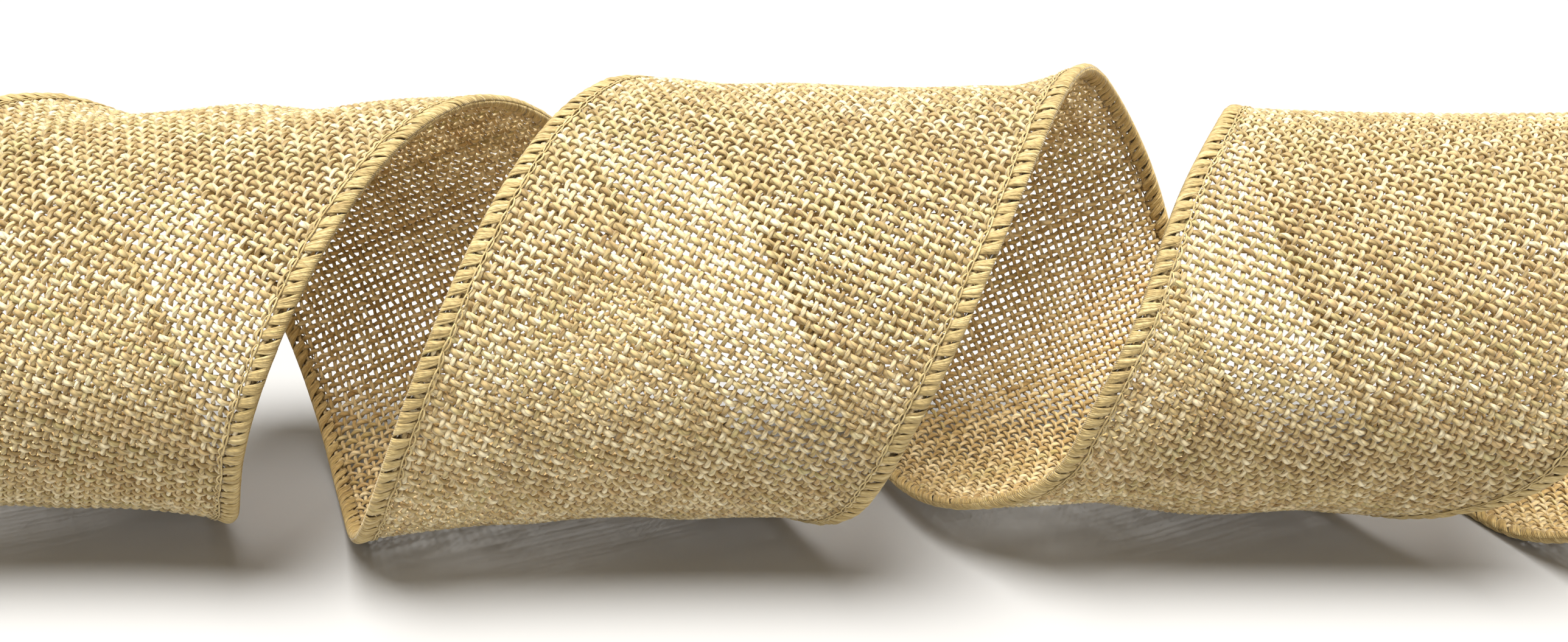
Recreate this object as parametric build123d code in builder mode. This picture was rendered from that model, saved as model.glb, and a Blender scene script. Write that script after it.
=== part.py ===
from build123d import *
import os
from math import atan
from math import cos
from math import exp
from math import log
from math import pi
from math import radians
from math import sin

os.makedirs("parts", exist_ok=True)

# Wired-edge woven ribbon, 2.5 inch wide, lying as an open left-handed coil.
# +X is the coil's axis, -Y the front, +Z up, and z = 0 the floor that it rests on.

# Ribbon
ribbon_width = 63.5
half_width = ribbon_width / 2
web_thickness = 0.8
web_edge_inset = 1.15
wire_radius = 0.2
wire_inset = 0.75

# Three-thread overlock along each edge
thread_gap = 0.2
stitch_depth = 2.4
looper_wall = 0.35
looper_lift = 1.0
needle_inset = 2.78
needle_radius = 0.17

# Coil
pitch = 89.5
axis_y = 0.57
axis_height = 35.572
start_angle = -580
end_angle = 700
section_step = 8
middle_angle = (start_angle + end_angle) / 2
floor_softness = 0.35
lowest_centre = 34.6

# Radius of the left edge, the middle and the right edge at every quarter turn.
# An angle of 0 faces the front and 90 faces up.
station_start = -698
station_step = 90
left_edge_radius = [31.0, 30.5, 31.5, 35.8, 30.0, 30.8, 31.0, 36.0, 33.0, 32.9, 32.0, 31.0, 29.2, 28.8, 31.5, 36.0, 32.0, 31.0]
middle_radius = [30.5, 29.5, 30.5, 30.6, 29.6, 29.0, 31.0, 32.3, 32.9, 32.6, 31.6, 31.2, 29.2, 27.8, 31.0, 33.5, 31.5, 30.5]
right_edge_radius = [31.5, 30.5, 31.0, 33.0, 30.4, 30.2, 32.0, 33.1, 33.2, 35.0, 32.0, 32.4, 29.6, 28.6, 32.0, 35.0, 32.0, 31.5]

# Where an edge leans to the right: angle, reach along the coil and angular spread
left_edge_lean = [(325, 5.5, 26), (370, 2.8, 30), (440, 1.3, 30)]
right_edge_lean = [(-415, 2.4, 30), (-50, 2.0, 25), (165, 2.8, 35), (330, 6.5, 25)]

# Soft waves between the edges: angle, angular spread, height in the middle and rise to the right
waves = [(112, 40, -0.9, -2.8), (-248, 40, -0.5, 2.5)]

mean_radius = 31.5
helix_slope = atan(pitch / (2 * pi * mean_radius))


def smooth_station(values, angle):
    """Catmull-Rom curve through the quarter-turn values."""
    place = (angle - station_start) / station_step
    first = min(max(int(place), 1), len(values) - 3)
    t = place - first
    a = values[first - 1]
    b = values[first]
    c = values[first + 1]
    d = values[first + 2]
    bend = (2 * a - 5 * b + 4 * c - d) * t * t
    twist = (3 * b - a - 3 * c + d) * t * t * t
    return 0.5 * (2 * b + (c - a) * t + bend + twist)


def coil_radius(angle, across):
    """Radius of the ribbon's middle surface; across runs from -1 at the left edge to 1."""
    left = smooth_station(left_edge_radius, angle)
    middle = smooth_station(middle_radius, angle)
    right = smooth_station(right_edge_radius, angle)
    lean = (right - left) / 2
    flare = (right + left) / 2 - middle
    radius = middle + lean * across + flare * across * across
    for place, spread, height, rise in waves:
        bump = exp(-(((angle - place) / spread) ** 2))
        radius += bump * (1 - across * across) * (height + rise * across)
    depth = -radius * sin(radians(angle))
    if depth > 0.8 * lowest_centre:
        excess = floor_softness * log(1 + exp((depth - lowest_centre) / floor_softness))
        radius = radius * (depth - excess) / depth
    return radius


def coil_x(angle, across):
    """Position along the coil's axis."""
    x = pitch * (angle - middle_angle) / 360
    x += half_width / cos(helix_slope) * across
    toward_left = ((1 - across) / 2) ** 1.5
    for place, reach, spread in left_edge_lean:
        x += reach * toward_left * exp(-(((angle - place) / spread) ** 2))
    toward_right = ((1 + across) / 2) ** 1.5
    for place, reach, spread in right_edge_lean:
        x += reach * toward_right * exp(-(((angle - place) / spread) ** 2))
    return x


def section_points(angle, profile):
    """Turn (distance across in mm, height off the middle surface) into (x, radius)."""
    points = []
    for distance, height in profile:
        across = distance / half_width
        points.append((coil_x(angle, across), coil_radius(angle, across) + height))
    return points


def coil_plane(angle):
    """Half-plane through the coil's axis; its local y is the radius."""
    turn = radians(angle)
    return Plane(origin=(0, axis_y, axis_height), x_dir=(1, 0, 0), z_dir=(0, -sin(turn), -cos(turn)))


def coil_angles():
    count = round((end_angle - start_angle) / section_step)
    return [start_angle + (end_angle - start_angle) * i / count for i in range(count + 1)]


web_reach = half_width - web_edge_inset
web_steps = [web_reach * (2 * i / 3 - 1) for i in range(4)]
web_outer = [(d, web_thickness / 2) for d in web_steps]
web_inner = [(d, -web_thickness / 2) for d in reversed(web_steps)]


def cubic_through(points):
    """Control points of the cubic curve that passes four points at equal steps."""
    a, b, c, d = [Vector(x, y) for x, y in points]
    second = (b * 18 - c * 9 - a * 5 + d * 2) / 6
    third = (c * 18 - b * 9 + a * 2 - d * 5) / 6
    return a, second, third, d


with BuildPart() as woven_web:
    for angle in coil_angles():
        with BuildSketch(coil_plane(angle)):
            with BuildLine():
                outer = Bezier(*cubic_through(section_points(angle, web_outer)))
                inner = Bezier(*cubic_through(section_points(angle, web_inner)))
                Line(outer @ 1, inner @ 0)
                Line(inner @ 1, outer @ 0)
            make_face()
    loft()
woven_web.part.label = "woven_web"
export_step(woven_web.part, "parts/woven_web.step")


def strand_points(distance, height):
    """Points along the coil at one place across the ribbon and one height off its middle."""
    points = []
    for angle in coil_angles():
        x, y = section_points(angle, [(distance, height)])[0]
        points.append(coil_plane(angle).from_local_coords((x, y, 0)))
    return points


def round_strand(distance, height, radius):
    """A round strand that follows the ribbon from end to end."""
    with BuildPart() as strand:
        with BuildLine() as path:
            Spline(*strand_points(distance, height))
        with BuildSketch(Plane(path.line @ 0, z_dir=path.line % 0)):
            Circle(radius)
        sweep(is_frenet=True)
    return strand.part


def edge_looper(side, face):
    """Half of the stitching that wraps the edge: face is 1 outside the coil, -1 inside."""
    low = web_thickness / 2 + thread_gap
    shape = [
        (stitch_depth, low),
        (stitch_depth, looper_lift),
        (0.3, looper_lift),
        (0.0, low),
        (0.0, thread_gap / 2),
        (looper_wall, thread_gap / 2),
        (looper_wall, low),
    ]
    with BuildPart() as looper:
        with BuildLine() as edge:
            Spline(*strand_points(side * half_width, 0))
        with BuildLine() as guide:
            Spline(*strand_points(side * (half_width - 8), 0))
        forward = edge.line % 0
        inward = (guide.line @ 0) - (edge.line @ 0)
        inward = inward - forward * inward.dot(forward)
        with BuildSketch(Plane(edge.line @ 0, x_dir=inward, z_dir=forward)):
            with BuildLine():
                Polyline(*[(inset, side * face * lift) for inset, lift in shape], close=True)
            make_face()
        sweep(path=edge.line, binormal=guide.line.edge())
    return looper.part


needle_lift = web_thickness / 2 + thread_gap + needle_radius

for name, side in (("left", -1), ("right", 1)):
    with BuildPart() as wire:
        add(round_strand(side * (half_width - wire_inset), 0, wire_radius))
    wire.part.label = name + "_edge_wire"
    export_step(wire.part, "parts/" + name + "_edge_wire.step")

    with BuildPart() as upper:
        add(edge_looper(side, 1))
    upper.part.label = name + "_upper_looper_thread"
    export_step(upper.part, "parts/" + name + "_upper_looper_thread.step")

    with BuildPart() as lower:
        add(edge_looper(side, -1))
    lower.part.label = name + "_lower_looper_thread"
    export_step(lower.part, "parts/" + name + "_lower_looper_thread.step")

    with BuildPart() as needle:
        add(round_strand(side * (half_width - needle_inset), needle_lift, needle_radius))
    needle.part.label = name + "_needle_thread"
    export_step(needle.part, "parts/" + name + "_needle_thread.step")
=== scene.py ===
import bpy
import numpy as np
from math import atan, cos, pi, radians, sin, sqrt
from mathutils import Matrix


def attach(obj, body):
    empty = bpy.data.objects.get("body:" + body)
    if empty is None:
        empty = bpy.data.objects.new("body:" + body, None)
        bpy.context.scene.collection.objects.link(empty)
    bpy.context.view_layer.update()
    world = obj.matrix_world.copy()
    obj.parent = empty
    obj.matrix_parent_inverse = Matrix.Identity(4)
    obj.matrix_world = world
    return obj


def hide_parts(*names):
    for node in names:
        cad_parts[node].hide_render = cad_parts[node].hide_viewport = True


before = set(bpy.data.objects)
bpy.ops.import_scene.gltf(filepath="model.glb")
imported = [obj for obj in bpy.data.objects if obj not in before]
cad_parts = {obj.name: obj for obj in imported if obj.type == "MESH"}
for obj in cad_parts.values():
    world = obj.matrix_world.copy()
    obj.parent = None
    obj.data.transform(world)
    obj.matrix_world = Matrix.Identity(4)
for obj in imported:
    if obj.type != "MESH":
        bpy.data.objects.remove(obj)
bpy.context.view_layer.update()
rng = np.random.default_rng(20)

# ---------------------------------------------------------------- coil, in mm and degrees
HALF = 31.75  # half the ribbon's width
PITCH = 89.5  # travel along the axis in one turn
AXIS_Y = 0.57  # the axis runs along X at this Y and Z
AXIS_Z = 35.572
START, END = -580.0, 700.0  # turn angles of the two cut ends
MIDDLE = (START + END) / 2
LOWEST_CENTRE = 34.6  # the middle surface is flattened where it would reach further below the axis
SOFTNESS = 0.35  # how gradually it is flattened
FLATTENED_FROM = 0.8  # places less deep than this share of LOWEST_CENTRE are left alone
MEAN_R = 31.5
SLOPE = atan(PITCH / (2 * pi * MEAN_R))
# radius of the left edge, the middle and the right edge at even steps of turn angle
STATION_START = -698.0
STATION_STEP = 90
LEFT_R = [
    31.0, 30.5, 31.5, 35.8, 30.0, 30.8, 31.0, 36.0, 33.0,
    32.9, 32.0, 31.0, 29.2, 28.8, 31.5, 36.0, 32.0, 31.0,
]
MID_R = [
    30.5, 29.5, 30.5, 30.6, 29.6, 29.0, 31.0, 32.3, 32.9,
    32.6, 31.6, 31.2, 29.2, 27.8, 31.0, 33.5, 31.5, 30.5,
]
RIGHT_R = [
    31.5, 30.5, 31.0, 33.0, 30.4, 30.2, 32.0, 33.1, 33.2,
    35.0, 32.0, 32.4, 29.6, 28.6, 32.0, 35.0, 32.0, 31.5,
]
# where an edge leans towards +X: angle, reach and spread
LEAN_LEFT = [(325, 5.5, 26), (370, 2.8, 30), (440, 1.3, 30)]
LEAN_RIGHT = [(-415, 2.4, 30), (-50, 2.0, 25), (165, 2.8, 35), (330, 6.5, 25)]
# broad waves between the edges: angle, spread, height and how the height changes across
WAVES = [(112, 40, -0.9, -2.8), (-248, 40, -0.5, 2.5)]
# small ripples in the cloth: angle, place across, height and the two spreads
RIPPLES = [
    (-248, -0.62, -1.3, 24, 0.17), (-248, -0.10, 0.9, 24, 0.17), (-248, 0.30, -1.0, 24, 0.18),
    (112, -0.55, -0.9, 25, 0.20), (112, 0.72, -1.0, 25, 0.13),
    (-68, 0.39, 0.6, 18, 0.13), (-68, 0.80, -0.4, 18, 0.12), (-68, -0.25, 0.5, 18, 0.14),
    (292, -0.42, -0.9, 20, 0.22), (292, 0.10, 0.8, 20, 0.22), (292, 0.50, -0.4, 20, 0.16),
    (-428, 0.30, 0.5, 22, 0.20), (-428, -0.40, -0.5, 22, 0.20),
]


def station(values, angle):
    """Smooth curve through the stations' values, read at the given angles."""
    values = np.array(values)
    place = (angle - STATION_START) / STATION_STEP
    first = np.clip(np.floor(place).astype(int), 1, len(values) - 3)
    t = place - first
    a, b, c, d = (values[first + k] for k in (-1, 0, 1, 2))
    squared = (2 * a - 5 * b + 4 * c - d) * t**2
    cubed = (3 * b - a - 3 * c + d) * t**3
    return 0.5 * (2 * b + (c - a) * t + squared + cubed)


def coil_radius(angle, across):
    """Radius of the middle surface; across runs from -1 at the left edge to 1 at the right one."""
    left, middle, right = station(LEFT_R, angle), station(MID_R, angle), station(RIGHT_R, angle)
    radius = middle + (right - left) / 2 * across + ((right + left) / 2 - middle) * across**2
    for place, spread, height, rise in WAVES:
        near = np.exp(-(((angle - place) / spread) ** 2))
        radius = radius + near * (1 - across**2) * (height + rise * across)
    for place, centre, height, turn_spread, spread in RIPPLES:
        far = ((angle - place) / turn_spread) ** 2 + ((across - centre) / spread) ** 2
        radius = radius + height * np.exp(-far)
    depth = -radius * np.sin(np.radians(angle))
    excess = SOFTNESS * np.log1p(np.exp(np.clip((depth - LOWEST_CENTRE) / SOFTNESS, -60, 60)))
    low = depth > FLATTENED_FROM * LOWEST_CENTRE
    return np.where(low, radius * (depth - excess) / np.where(low, depth, 1), radius)


def coil_x(angle, across):
    """Place along the coil's axis."""
    x = PITCH * (angle - MIDDLE) / 360 + HALF / cos(SLOPE) * across
    for share, leans in ((-across, LEAN_LEFT), (across, LEAN_RIGHT)):
        share = np.clip((1 + share) / 2, 0, 2) ** 1.5
        for place, reach, spread in leans:
            x = x + reach * share * np.exp(-(((angle - place) / spread) ** 2))
    return x


TURN_PER_S = np.degrees(sin(SLOPE) / MEAN_R)  # degrees of turn for 1 mm across the ribbon
TABLE_STEP = 0.5
TABLE_MARGIN = 40
turn_table = np.arange(START - TABLE_MARGIN, END + TABLE_MARGIN + TABLE_STEP, TABLE_STEP)
step = np.sqrt((PITCH / (2 * pi)) ** 2 + station(MID_R, turn_table) ** 2) * radians(TABLE_STEP)
length_table = np.cumsum(step) - step[0]
length_table = length_table - np.interp(MIDDLE, turn_table, length_table)


def middle_place(u, s):
    """Point on the ribbon's middle surface at length u and distance s across."""
    turn = np.interp(u, length_table, turn_table) - s * TURN_PER_S
    across = s / HALF
    r = coil_radius(turn, across)
    a = np.radians(turn)
    return np.stack([coil_x(turn, across), AXIS_Y - r * np.cos(a), AXIS_Z + r * np.sin(a)], -1)


# the middle surface and its outward normals on a fine grid, which wrap() reads
GRID = 0.5
REACH_S = 35
grid_u = np.arange(length_table[0] + 2, length_table[-1] - 2, GRID)
grid_s = np.arange(-REACH_S, REACH_S + 0.01, GRID)
GU, GS = np.meshgrid(grid_u, grid_s, indexing="ij")
grid_p = middle_place(GU, GS)
along = middle_place(GU + 0.2, GS) - middle_place(GU - 0.2, GS)
aside = middle_place(GU, GS + 0.2) - middle_place(GU, GS - 0.2)
grid_n = np.cross(aside, along)
grid_n /= np.linalg.norm(grid_n, axis=-1, keepdims=True)
from_axis = grid_p - np.array([0, AXIS_Y, AXIS_Z])
from_axis[..., 0] = 0
if (grid_n * from_axis).sum(-1).mean() < 0:
    grid_n = -grid_n


def wrap(flat):
    """Flat ribbon space (length, across, height) in mm to the coil, in metres."""
    u = np.clip((flat[:, 0] - grid_u[0]) / GRID, 0, len(grid_u) - 1.001)
    s = np.clip((flat[:, 1] - grid_s[0]) / GRID, 0, len(grid_s) - 1.001)
    i, j = u.astype(int), s.astype(int)
    fu, fs = (u - i)[:, None], (s - j)[:, None]

    def mix(g):
        near = g[i, j] * (1 - fu) + g[i + 1, j] * fu
        far = g[i, j + 1] * (1 - fu) + g[i + 1, j + 1] * fu
        return near * (1 - fs) + far * fs

    return (mix(grid_p) + mix(grid_n) * flat[:, 2:3]) * 0.001


def length_at(turn, s):
    """Length u where the line at s crosses the given turn angle."""
    return np.interp(turn + s * TURN_PER_S, turn_table, length_table)


# ---------------------------------------------------------------- helpers
def wander(rows, x, waves, size):
    """Smooth noise along x, one row for each strand."""
    total = 0
    for wave in waves:
        w = wave * rng.uniform(0.75, 1.3, (rows, 1))
        strength = rng.uniform(0.5, 1.3, (rows, 1))
        total = total + strength * np.sin(2 * pi * (x / w + rng.uniform(0, 1, (rows, 1))))
    return size * total / sqrt(len(waves))


def field(u, s, waves, size, seed):
    """Slow wave-like change over the whole ribbon."""
    r = np.random.default_rng(seed)
    total = 0
    for wave in waves:
        t = r.uniform(0, pi)
        total = total + np.sin(2 * pi * (u * cos(t) + s * sin(t)) / wave + r.uniform(0, 6.3))
    return size * total / sqrt(len(waves))


def drift_along(u, s):
    """Drift of the weave along the ribbon, the same for both sets of yarns."""
    return field(u, s, (31, 47), 0.35, 3)


def drift_across(u, s):
    """Drift of the weave across the ribbon, the same for both sets of yarns."""
    return field(u, s, (38, 61, 23), 0.25, 4)


def cells(columns, rows):
    """Hands out the cells of a grid over the bake map, one for each strand."""
    state = {"next": 0}

    def give(n):
        k = state["next"] + np.arange(n)
        state["next"] += n
        column, row = k // rows, k % rows
        return column / columns + 0.0005, (column + 0.99) / columns, row / rows, (row + 1) / rows

    return give


SIDES = 6  # sides of each yarn and thread
CELL_SHARE = 0.96  # share of a bake cell's height that a strand fills
CAP_PLACE = 0.999  # corner of the bake map where the cut ends go
INWARD_DEPTH = 0.2  # a point this far below its strand's centre counts as facing fully inward, and gets the full painted light
INWARD_PAINTED_LIGHT = 0.08  # how much lighter such a point is painted: painted light for the coil's inside


class Tubes:
    """Collects strands built in flat ribbon space and makes one mesh of them."""

    def __init__(self):
        self.points, self.quads, self.caps, self.uv, self.atlas, self.tone = [], [], [], [], [], []
        self.count = 0

    def add(self, path, wide, thick, aside, tone, tint, cell):
        """path (n, m, 3); wide and thick (n, m) half sizes; aside the flat direction of the width."""
        n, m, _ = path.shape
        ring = self.rings(path, wide, thick, aside)
        k = np.arange(SIDES)
        following = (k + 1) % SIDES
        base = self.count + (np.arange(n)[:, None, None] * m + np.arange(m)[:, None]) * SIDES
        corners = [base[:, :-1] + k, base[:, :-1] + following, base[:, 1:] + following, base[:, 1:] + k]
        self.quads.append(np.stack(corners, -1).reshape(-1, 4))
        first, last = base[:, 0, :] + k[::-1], base[:, -1, :] + k
        self.caps.append(np.concatenate([first, last]).reshape(-1, SIDES))
        run = np.cumsum(np.linalg.norm(np.diff(path, axis=1), axis=-1), axis=1)
        run = np.concatenate([np.zeros((n, 1)), run], axis=1) + rng.uniform(0, 20, (n, 1))
        u0 = np.broadcast_to(run[:, :-1, None], (n, m - 1, SIDES))
        u1 = np.broadcast_to(run[:, 1:, None], (n, m - 1, SIDES))
        v0 = np.broadcast_to(k / SIDES, (n, m - 1, SIDES))
        v1 = v0 + 1 / SIDES
        self.uv.append(np.stack([u0, v0, u0, v1, u1, v1, u1, v0], -1).reshape(-1, 4, 2))
        x0, x1, y0, y1 = cell(n)
        share = np.linspace(0, 1, m)
        ax0 = (x0[:, None] + (x1 - x0)[:, None] * share[:-1])[:, :, None] + 0 * v0
        ax1 = (x0[:, None] + (x1 - x0)[:, None] * share[1:])[:, :, None] + 0 * v0
        ay0 = y0[:, None, None] + (y1 - y0)[:, None, None] * v0 * CELL_SHARE
        ay1 = y0[:, None, None] + (y1 - y0)[:, None, None] * v1 * CELL_SHARE
        self.atlas.append(np.stack([ax0, ay0, ax0, ay1, ax1, ay1, ax1, ay0], -1).reshape(-1, 4, 2))
        self.points.append(ring.reshape(-1, 3))
        # painted light: points facing the coil's inside are painted lighter, and their share is kept so
        # they can be painted warmer too
        painted_light_share = np.clip((path[:, :, None, 2] - ring[..., 2]) / INWARD_DEPTH, 0, 1)
        shade = np.zeros((n, m, SIDES, 4))
        shade[..., 0] = tone[:, :, None] + INWARD_PAINTED_LIGHT * painted_light_share
        shade[..., 1] = tint[:, :, None]
        shade[..., 2] = rng.uniform(0, 1, (n, 1, 1))
        shade[..., 3] = painted_light_share
        self.tone.append(shade.reshape(-1, 4))
        self.count += n * m * SIDES

    @staticmethod
    def rings(path, wide, thick, aside):
        """A flattened ring of points round every point of every path."""
        tangent = np.gradient(path, axis=1)
        tangent /= np.linalg.norm(tangent, axis=-1, keepdims=True) + 1e-12
        side = np.broadcast_to(np.array(aside, float), path.shape)
        side = side - (side * tangent).sum(-1, keepdims=True) * tangent
        side /= np.linalg.norm(side, axis=-1, keepdims=True) + 1e-12
        up = np.cross(tangent, side)
        turn = 2 * pi * (np.arange(SIDES) + 0.5) / SIDES
        sideways = side[:, :, None] * (wide[:, :, None] * np.cos(turn))[..., None]
        upward = up[:, :, None] * (thick[:, :, None] * np.sin(turn))[..., None]
        return path[:, :, None] + sideways + upward

    def build(self, name, material):
        points = wrap(np.concatenate(self.points))
        quads = np.concatenate(self.quads)
        loops = [quads.ravel()]
        sizes = [np.full(len(quads), 4)]
        uv = [np.concatenate(self.uv).reshape(-1, 2)]
        atlas = [np.concatenate(self.atlas).reshape(-1, 2)]
        for cap in self.caps:
            loops.append(cap.ravel())
            sizes.append(np.full(len(cap), cap.shape[1]))
            uv.append(np.zeros((cap.size, 2)))
            atlas.append(np.full((cap.size, 2), CAP_PLACE))
        loops, sizes = np.concatenate(loops), np.concatenate(sizes)
        mesh = bpy.data.meshes.new(name)
        mesh.vertices.add(len(points))
        mesh.vertices.foreach_set("co", points.astype(np.float32).ravel())
        mesh.loops.add(len(loops))
        mesh.loops.foreach_set("vertex_index", loops.astype(np.int32))
        mesh.polygons.add(len(sizes))
        mesh.polygons.foreach_set("loop_start", (np.cumsum(sizes) - sizes).astype(np.int32))
        mesh.polygons.foreach_set("loop_total", sizes.astype(np.int32))
        mesh.update(calc_edges=True)
        for layer_name, data in (("Strand", uv), ("OFBake", atlas)):
            layer = mesh.uv_layers.new(name=layer_name)
            layer.data.foreach_set("uv", np.concatenate(data).astype(np.float32).ravel())
        mesh.uv_layers.active = mesh.uv_layers["Strand"]
        colours = mesh.color_attributes.new("yarn_tone_and_painted_light", "FLOAT_COLOR", "POINT")
        colours.data.foreach_set("color", np.concatenate(self.tone).astype(np.float32).ravel())
        mesh.polygons.foreach_set("use_smooth", np.ones(len(sizes), bool))
        mesh.materials.append(material)
        ob = bpy.data.objects.new(name, mesh)
        bpy.context.scene.collection.objects.link(ob)
        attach(ob, "root")
        return ob


# ---------------------------------------------------------------- materials
def node(tree, kind, **values):
    """Adds a node; the values are for its inputs or, failing that, its settings."""
    n = tree.nodes.new(kind)
    for key, value in values.items():
        if key in n.inputs:
            n.inputs[key].default_value = value
        else:
            setattr(n, key, value)
    return n


def maths(tree, kind, a, b=None):
    """Output of a new Math node; a and b are numbers or sockets."""
    n = tree.nodes.new("ShaderNodeMath")
    n.operation = kind
    for i, v in enumerate((a, b)):
        if v is None:
            continue
        if isinstance(v, (int, float)):
            n.inputs[i].default_value = v
        else:
            tree.links.new(v, n.inputs[i])
    return n.outputs[0]


def blend(tree, share, a, b, kind="MIX"):
    """Output of a new colour Mix node; share, a and b are values or sockets."""
    n = tree.nodes.new("ShaderNodeMix")
    n.data_type = "RGBA"
    n.blend_type = kind
    for socket, v in ((n.inputs["Factor"], share), (n.inputs[6], a), (n.inputs[7], b)):
        if isinstance(v, (int, float)):
            socket.default_value = v
        elif isinstance(v, tuple):
            socket.default_value = (*v, 1)
        else:
            tree.links.new(v, socket)
    return n.outputs[2]


TINT_EDGE = 0.1  # tints this far past the middle turn towards the warm or the cool colour
TINT_GAIN = 1.6  # how strongly they turn
# painted light: the face inside the coil is painted this much lighter and warmer
INWARD_PAINTED_LIGHT_TINT = (1.16, 1.05, 0.87)
PATCH_TONE = 0.65  # strength of the colour patches along a yarn
FIBRE_TONE = 0.35  # how much the fibres change the colour, on top of FIBRE_BASE
FIBRE_BASE = 0.83
ROUGHNESS_RANGE = 0.2


def yarn_material(
    name, dark, middle, light, warm, cool, strands, twist, ply_tone, depth, groove_painted_shade, roughness, sheen
):
    """Twisted yarn: tone and tint come from the mesh's colour attribute, which also carries painted light
    for the face inside the coil; strands and fibres come from the Strand map, with painted shade in the
    grooves between strands.
    """
    m = bpy.data.materials.new(name)
    m.use_nodes = True
    t = m.node_tree
    bsdf = t.nodes["Principled BSDF"]
    tone = node(t, "ShaderNodeAttribute", attribute_name="yarn_tone_and_painted_light")
    parts = node(t, "ShaderNodeSeparateColor")
    t.links.new(tone.outputs["Color"], parts.inputs[0])
    level, tint, strand_number = parts.outputs[0], parts.outputs[1], parts.outputs[2]
    uv = node(t, "ShaderNodeUVMap", uv_map="Strand")
    split = node(t, "ShaderNodeSeparateXYZ")
    t.links.new(uv.outputs[0], split.inputs[0])
    # fine colour changes along each yarn
    stretch = node(t, "ShaderNodeMapping")
    stretch.inputs["Scale"].default_value = (0.9, 2.0, 1)
    t.links.new(uv.outputs[0], stretch.inputs[0])
    offset = node(t, "ShaderNodeCombineXYZ")
    t.links.new(maths(t, "MULTIPLY", strand_number, 37.0), offset.inputs[2])
    moved = node(t, "ShaderNodeVectorMath", operation="ADD")
    t.links.new(stretch.outputs[0], moved.inputs[0])
    t.links.new(offset.outputs[0], moved.inputs[1])
    patch = node(t, "ShaderNodeTexNoise", Scale=1.0, Detail=3.0, Roughness=0.6)
    t.links.new(moved.outputs[0], patch.inputs["Vector"])
    round_yarn = maths(t, "MULTIPLY", split.outputs[1], float(strands))
    phase = maths(t, "ADD", round_yarn, maths(t, "MULTIPLY", split.outputs[0], twist))
    ply = maths(t, "SINE", maths(t, "MULTIPLY", phase, 2 * pi / strands))
    patches = maths(t, "MULTIPLY", maths(t, "SUBTRACT", patch.outputs[0], 0.5), PATCH_TONE)
    level = maths(t, "ADD", level, patches)
    level = maths(t, "ADD", level, maths(t, "MULTIPLY", ply, ply_tone))
    ramp = node(t, "ShaderNodeValToRGB")
    stops = ramp.color_ramp.elements
    stops[0].position, stops[0].color = 0.1, (*dark, 1)
    stops[1].position, stops[1].color = 0.9, (*light, 1)
    stops.new(0.5).color = (*middle, 1)
    t.links.new(level, ramp.inputs[0])
    over = maths(t, "MAXIMUM", maths(t, "SUBTRACT", tint, 0.5 + TINT_EDGE), 0.0)
    under = maths(t, "MAXIMUM", maths(t, "SUBTRACT", 0.5 - TINT_EDGE, tint), 0.0)
    colour = blend(t, maths(t, "MULTIPLY", over, TINT_GAIN), ramp.outputs[0], warm)
    colour = blend(t, maths(t, "MULTIPLY", under, TINT_GAIN), colour, cool)
    # painted light: the face inside the coil is painted a little lighter and warmer, as thin yarn looks
    # with light behind it
    colour = blend(t, tone.outputs["Alpha"], colour, INWARD_PAINTED_LIGHT_TINT, "MULTIPLY")
    # twisted strands and fine fibres; the colour is darkened in the grooves between strands as painted
    # shade
    wave = maths(t, "ABSOLUTE", maths(t, "SINE", maths(t, "MULTIPLY", phase, pi)))
    fibre_map = node(t, "ShaderNodeMapping")
    fibre_map.inputs["Scale"].default_value = (2.2, 26.0, 1)
    t.links.new(uv.outputs[0], fibre_map.inputs[0])
    fibre = node(t, "ShaderNodeTexNoise", Scale=1.0, Detail=2.0, Roughness=0.7)
    t.links.new(fibre_map.outputs[0], fibre.inputs["Vector"])
    grooves = maths(t, "POWER", wave, 0.6)
    # painted shade: the colour is darkened in the grooves between strands
    shade = maths(t, "ADD", maths(t, "MULTIPLY", grooves, groove_painted_shade), 1.0 - groove_painted_shade)
    fibre_shade = maths(t, "ADD", maths(t, "MULTIPLY", fibre.outputs[0], FIBRE_TONE), FIBRE_BASE)
    shade = maths(t, "MULTIPLY", shade, fibre_shade)
    grey = node(t, "ShaderNodeCombineColor")
    for i in range(3):
        t.links.new(shade, grey.inputs[i])
    colour = blend(t, 1.0, colour, grey.outputs[0], "MULTIPLY")
    t.links.new(colour, bsdf.inputs["Base Color"])
    fibre_height = maths(t, "MULTIPLY", fibre.outputs[0], 0.4)
    height = maths(t, "ADD", maths(t, "MULTIPLY", grooves, 0.7), fibre_height)
    bump = node(t, "ShaderNodeBump", Strength=1.0, Distance=depth)
    t.links.new(height, bump.inputs["Height"])
    t.links.new(bump.outputs[0], bsdf.inputs["Normal"])
    fibre_rough = maths(t, "MULTIPLY", fibre.outputs[0], ROUGHNESS_RANGE)
    rough = maths(t, "ADD", fibre_rough, roughness - ROUGHNESS_RANGE / 2)
    t.links.new(rough, bsdf.inputs["Roughness"])
    bsdf.inputs["Sheen Weight"].default_value = sheen
    bsdf.inputs["Sheen Roughness"].default_value = 0.4
    bsdf.inputs["Sheen Tint"].default_value = (1.0, 0.93, 0.78, 1)
    bsdf.inputs["Specular IOR Level"].default_value = 0.25
    return m


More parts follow.
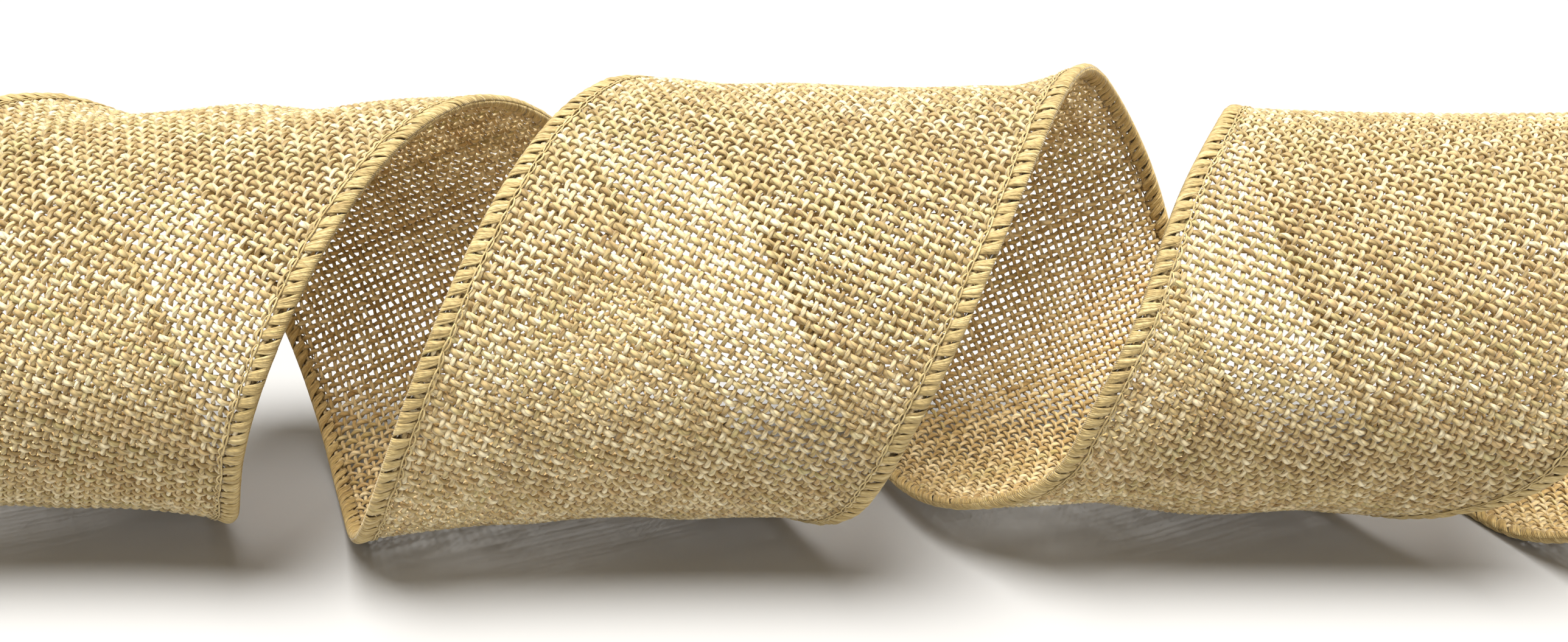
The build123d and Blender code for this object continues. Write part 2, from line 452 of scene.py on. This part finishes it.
jute = yarn_material(
    "jute_yarn",
    dark=(0.30, 0.195, 0.075),
    middle=(0.565, 0.43, 0.205),
    light=(0.90, 0.80, 0.55),
    warm=(0.58, 0.385, 0.18),
    cool=(0.50, 0.45, 0.19),
    strands=3,
    twist=0.8,
    ply_tone=0.13,
    depth=0.00010,
    # strength of the painted shade in the grooves between strands
    groove_painted_shade=0.40,
    roughness=0.75,
    sheen=0.5,
)
thread = yarn_material(
    "overlock_thread",
    dark=(0.30, 0.21, 0.08),
    middle=(0.48, 0.355, 0.15),
    light=(0.65, 0.52, 0.26),
    warm=(0.53, 0.35, 0.15),
    cool=(0.46, 0.40, 0.15),
    strands=2,
    twist=0.9,
    ply_tone=0.05,
    depth=0.00004,
    # strength of the painted shade in the grooves between strands
    groove_painted_shade=0.22,
    roughness=0.6,
    sheen=0.4,
)

# ---------------------------------------------------------------- woven web
PITCH_WARP = 1.25
PITCH_WEFT = 1.33
WARPS = 49
PER = 4  # points of a yarn for each yarn it crosses
LIFT = 0.32  # how far a yarn rises over the one it crosses
WARP_HALF_WIDTH = 0.33
WEFT_HALF_WIDTH = 0.43
YARN_HALF_THICKNESS = 0.295
SWELL = 0.08  # share by which a yarn is wider where it crosses another
WARP_CELLS = 4  # each warp is cut in this many lengths, so that each has a cell of the bake map
END_MARGIN = 0.6  # the shortest warps stop this far inside the cut
FRAY = 1.3  # and the longest reach this much further
WEFT_CLEAR = 1.4  # degrees that the wefts stay short of the cut ends
WEFT_PAST = 0.5  # how far a weft goes past the outermost warp
SHORTEST_WEFT = 2.5  # shorter ones in the corners are left out


def float_shape(w):
    """A cosine w made broader on its crests."""
    return w * (1.32 - 0.32 * w * w)


warp = Tubes()
s0 = (np.arange(WARPS) - (WARPS - 1) / 2) * PITCH_WARP
start_u = length_at(START, s0) + END_MARGIN - rng.uniform(0, FRAY, WARPS)
end_u = length_at(END, s0) - END_MARGIN + rng.uniform(0, FRAY, WARPS)
m = int(round(float((end_u - start_u).mean()) / (PITCH_WEFT / PER))) + 1
u = start_u[:, None] + (end_u - start_u)[:, None] * np.linspace(0, 1, m)
index = np.arange(WARPS)[:, None]
s = s0[:, None] + 0 * u
h = LIFT * float_shape(np.cos(pi * (u / PITCH_WEFT + index)))
side_drift = rng.normal(0, 0.05, (WARPS, 1)) + wander(WARPS, u, (5.5, 11, 26), 0.06)
path = np.stack([u + drift_along(u, s), s + side_drift + drift_across(u, s), h], -1)
slub = rng.uniform(0.92, 1.1, (WARPS, 1)) * (1 + wander(WARPS, u, (4, 9, 21), 0.10))
wide = WARP_HALF_WIDTH * slub * (1 + SWELL * np.cos(2 * pi * u / PITCH_WEFT))
thick = YARN_HALF_THICKNESS * np.sqrt(slub)
tone = 0.5 + rng.normal(0, 0.08, (WARPS, 1)) + wander(WARPS, u, (2.7, 4.3, 9, 31), 0.13)
tint = 0.5 + rng.normal(0, 0.13, (WARPS, 1)) + wander(WARPS, u, (13, 37), 0.10)
length = m // WARP_CELLS
give = cells(WARP_CELLS, WARPS)
for k in range(WARP_CELLS):
    part = slice(k * length, (k + 1) * length + 1 if k < WARP_CELLS - 1 else m)
    warp.add(path[:, part], wide[:, part], thick[:, part], (0, 1, 0), tone[:, part], tint[:, part], give)
warp_ob = warp.build("web_warp_yarns", jute)

weft = Tubes()
reach = (WARPS - 1) / 2 * PITCH_WARP + WEFT_PAST
low_j = int(np.floor(length_table[0] / PITCH_WEFT)) + 1
high_j = int(np.ceil(length_table[-1] / PITCH_WEFT))
full, partial = [], []
for j in range(low_j, high_j):
    turn = np.interp(j * PITCH_WEFT, length_table, turn_table)
    a = max(-reach, (turn - END + WEFT_CLEAR) / TURN_PER_S)
    b = min(reach, (turn - START - WEFT_CLEAR) / TURN_PER_S)
    if b - a < SHORTEST_WEFT:
        continue
    (full if a == -reach and b == reach else partial).append((j, a, b))


def add_wefts(rows, give):
    """Adds the wefts given as (number, first s, last s), all with the same number of points."""
    j = np.array([r[0] for r in rows])
    a = np.array([r[1] for r in rows])
    b = np.array([r[2] for r in rows])
    n = len(rows)
    m = int(round((b - a).max() / (PITCH_WARP / PER))) + 1
    s = a[:, None] + (b - a)[:, None] * np.linspace(0, 1, m)
    u = j[:, None] * PITCH_WEFT + 0 * s
    h = -LIFT * float_shape(np.cos(pi * (s / PITCH_WARP + (WARPS - 1) / 2 + j[:, None])))
    drift = rng.normal(0, 0.07, (n, 1)) + wander(n, s, (6, 13, 30), 0.07)
    path = np.stack([u + drift + drift_along(u, s), s + drift_across(u, s), h], -1)
    slub = rng.uniform(0.88, 1.14, (n, 1)) * (1 + wander(n, s, (5, 11, 24), 0.11))
    wide = WEFT_HALF_WIDTH * slub * (1 + SWELL * np.cos(2 * pi * s / PITCH_WARP))
    thick = YARN_HALF_THICKNESS * np.sqrt(slub)
    tone = 0.5 + rng.normal(0, 0.09, (n, 1)) + wander(n, s, (2.7, 4.3, 9, 19), 0.13)
    tint = 0.5 + rng.normal(0, 0.15, (n, 1)) + wander(n, s, (15, 40), 0.09)
    weft.add(path, wide, thick, (1, 0, 0), tone, tint, give)


give = cells(3, (len(full) + len(partial) + 2) // 3 + 1)
add_wefts(full, give)
for row in partial:
    add_wefts([row], give)
weft_ob = weft.build("web_weft_yarns", jute)

# ---------------------------------------------------------------- overlock stitches
STITCH = 2.0  # spacing of the stitches along the edge
STRANDS = 6  # fine threads side by side in one stitch
POINTS = 8  # points along a stitch thread
NEEDLE_S = 29.35  # the needle line, from the middle of the ribbon
FOLD_S = 30.72  # where a stitch leaves the flat and turns round the edge
FOLD_SHARE = 0.42  # share of the stitch that lies flat
EDGE_TURN = 0.93  # how far the stitch goes past FOLD_S
NEEDLE_HEIGHT = 0.48  # of a stitch above the middle surface at the needle line
FOLD_HEIGHT = 0.70  # and where it starts to turn round the edge
CROWN = 0.12  # how much a stitch is raised along its middle, compared with its two borders
SLANT = 1.9  # how far a stitch leans along the edge
FAN_NEEDLE = 0.8  # width over which a stitch's threads are spread at the needle line
FAN_EDGE = 1.04  # and at the edge, as a share of the stitch spacing
STITCH_HALF_WIDTH = 0.215
STITCH_HALF_THICKNESS = 0.16
END_S = 30.5  # the stitches stop END_CLEAR short of where the cut meets this line
END_CLEAR = 1.5
LOOP_BULGES = (0.42, -0.10)  # of the two threads of a needle loop, towards the ribbon's middle
LOOP_HEIGHT = 0.52
LOOP_RISE = 0.20
LOOP_HALF_WIDTH = 0.12


def stitches(side, face):
    """The looper thread on one face of one edge, from the needle line round to the edge."""
    made = Tubes()
    first = length_at(START, side * END_S) + END_CLEAR
    last = length_at(END, side * END_S) - END_CLEAR
    n = int((last - first) / STITCH)
    centre = first + (np.arange(n) + 0.5) * (last - first) / n
    local = np.random.default_rng(50 + side)
    centre = centre + local.normal(0, 0.10, n)
    size = local.uniform(0.9, 1.06, n)
    inner = local.normal(0, 0.10, n)
    slant = side * (SLANT + local.normal(0, 0.2, n))
    give = cells(24, (n * STRANDS) // 24 + 1)
    t = np.linspace(0, 1, POINTS)
    flat = t < FOLD_SHARE
    flat_s = NEEDLE_S + (FOLD_S - NEEDLE_S) * t / FOLD_SHARE
    flat_height = NEEDLE_HEIGHT + (FOLD_HEIGHT - NEEDLE_HEIGHT) * np.sin(pi / 2 * t / FOLD_SHARE)
    bend = pi / 2 * np.clip((t - FOLD_SHARE) / (1 - FOLD_SHARE), 0, 1)
    for k in range(STRANDS):
        fan = (k + 0.5) / STRANDS - 0.5
        start_u = centre - slant * face * 0.5 + fan * FAN_NEEDLE
        end_u = centre + slant * face * 0.5 + fan * STITCH * FAN_EDGE
        uu = start_u[:, None] + (end_u - start_u)[:, None] * t**0.8
        ss = np.where(flat, flat_s, FOLD_S + EDGE_TURN * np.sin(bend))
        hh = np.where(flat, flat_height, FOLD_HEIGHT * np.cos(bend))
        crown = CROWN * (1 - (2 * fan) ** 2)
        grow = (size * (1 + local.normal(0, 0.04, n)))[:, None]
        hh = hh * grow + crown * np.sin(pi * t) + 0.03 * local.normal(0, 1, (n, 1)) * np.sin(pi * t)
        ss = ss + inner[:, None] * (1 - t)
        path = np.stack([uu, side * ss, face * hh], -1)
        fullness = 0.72 + 0.36 * np.sin(pi * np.clip(t * 0.8 + 0.12, 0, 1))
        wide = (STITCH_HALF_WIDTH + 0.03 * local.normal(0, 1, (n, 1))) * fullness
        thick = STITCH_HALF_THICKNESS * (0.8 + 0.25 * np.sin(pi * t)) + 0 * wide
        tone = 0.5 + local.normal(0, 0.12, (n, 1)) + 0.10 * local.normal(0, 1, (n, 1)) + 0 * t
        tint = 0.5 + local.normal(0, 0.10, (n, 1)) + 0 * t
        made.add(path, wide, thick, (1, 0, 0), tone, tint, give)
    return made, centre, inner


def needle_line(side, centre, inner):
    """Chain of small loops that locks the stitches along their inner border."""
    made = Tubes()
    local = np.random.default_rng(70 + side)
    n = len(centre) - 1
    a, b = centre[:-1], centre[1:]
    give = cells(12, (n * 3) // 12 + 1)
    t = np.linspace(0, 1, 9)
    for number, bulge in enumerate(LOOP_BULGES):
        reach = bulge * local.uniform(0.75, 1.25, (n, 1))
        uu = a[:, None] + (b - a)[:, None] * (t * 1.12 - 0.06)
        line = NEEDLE_S - 0.12 + inner[:-1, None] * (1 - t) + inner[1:, None] * t
        ss = line - reach * np.sin(pi * t) ** 0.8
        hh = LOOP_HEIGHT + LOOP_RISE * np.sin(pi * t) + 0.05 * number
        path = np.stack([uu, side * ss, hh + 0 * uu], -1)
        wide = (LOOP_HALF_WIDTH + 0.015 * local.normal(0, 1, (n, 1))) * (0.8 + 0.3 * np.sin(pi * t))
        tone = 0.62 + local.normal(0, 0.12, (n, 1)) + 0 * t
        tint = 0.5 + local.normal(0, 0.10, (n, 1)) + 0 * t
        made.add(path, wide, 0.8 * wide, (0, 1, 0), tone, tint, give)
    return made


for label, side in (("left", -1), ("right", 1)):
    upper, centre, inner = stitches(side, 1)
    ob = upper.build(label + "_outer_stitches", thread)
    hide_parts(label + "_upper_looper_thread")
    lower, _, _ = stitches(side, -1)
    ob = lower.build(label + "_inner_stitches", thread)
    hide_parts(label + "_lower_looper_thread")
    ob = needle_line(side, centre, inner).build(label + "_needle_stitches", thread)
    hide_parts(label + "_needle_thread")

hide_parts("woven_web")


# ---------------------------------------------------------------- wires, shown as the CAD has them
def wire_material():
    steel = bpy.data.materials.new("edge_wire_steel")
    steel.use_nodes = True
    t = steel.node_tree
    bsdf = t.nodes["Principled BSDF"]
    bsdf.inputs["Metallic"].default_value = 1.0
    scratch = node(t, "ShaderNodeTexNoise", Scale=900.0, Detail=3.0)
    ramp = node(t, "ShaderNodeValToRGB")
    ramp.color_ramp.elements[0].color = (0.42, 0.41, 0.39, 1)
    ramp.color_ramp.elements[1].color = (0.66, 0.65, 0.62, 1)
    t.links.new(scratch.outputs[0], ramp.inputs[0])
    t.links.new(ramp.outputs[0], bsdf.inputs["Base Color"])
    rough = maths(t, "ADD", maths(t, "MULTIPLY", scratch.outputs[0], 0.25), 0.2)
    t.links.new(rough, bsdf.inputs["Roughness"])
    return steel


steel = wire_material()
for label in ("left_edge_wire", "right_edge_wire"):
    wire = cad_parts[label]
    for slot in wire.material_slots:
        slot.material = steel
    if not wire.material_slots:
        wire.data.materials.append(steel)

# ---------------------------------------------------------------- floor, light, camera
bpy.ops.mesh.primitive_plane_add(size=12, location=(0, 0, 0))
floor = bpy.context.object
floor.name = "floor"
paper = bpy.data.materials.new("floor_paper")
paper.use_nodes = True
paper_bsdf = paper.node_tree.nodes["Principled BSDF"]
paper_bsdf.inputs["Base Color"].default_value = (0.415, 0.41, 0.40, 1)
paper_bsdf.inputs["Roughness"].default_value = 0.9
floor.data.materials.append(paper)

world = bpy.data.worlds.new("studio")
bpy.context.scene.world = world
world.use_nodes = True
sky = world.node_tree.nodes["Background"]
sky.inputs["Color"].default_value = (1.0, 0.90, 0.72, 1)
sky.inputs["Strength"].default_value = 0.27


def sun(name, strength, spread, tilt):
    """A sun with its disc's spread in degrees, tilted towards the camera's side from overhead."""
    light = bpy.data.lights.new(name, "SUN")
    light.energy = strength
    light.angle = radians(spread)
    ob = bpy.data.objects.new(name, light)
    ob.rotation_euler = (radians(tilt), 0, 0)
    bpy.context.scene.collection.objects.link(ob)


sun("overhead", strength=7.1, spread=36, tilt=8)
sun("front_fill", strength=0.6, spread=30, tilt=62)

ELEVATION = 22.0  # of the camera above the coil's axis, in degrees
DISTANCE = 226.0  # from the axis, in mm
AIM_BELOW = 0.80  # degrees that the camera points below the axis
camera = bpy.data.cameras.new("camera")
camera.sensor_width = 36
camera.lens = 33.98
camera.clip_start = 0.01
eye = bpy.data.objects.new("camera", camera)
eye.location = (
    0.0,
    (AXIS_Y - DISTANCE * cos(radians(ELEVATION))) / 1000,
    (AXIS_Z + DISTANCE * sin(radians(ELEVATION))) / 1000,
)
eye.rotation_euler = (radians(90 - ELEVATION - AIM_BELOW), 0, 0)
bpy.context.scene.collection.objects.link(eye)
bpy.context.scene.camera = eye
bpy.context.scene.view_settings.view_transform = "Standard"
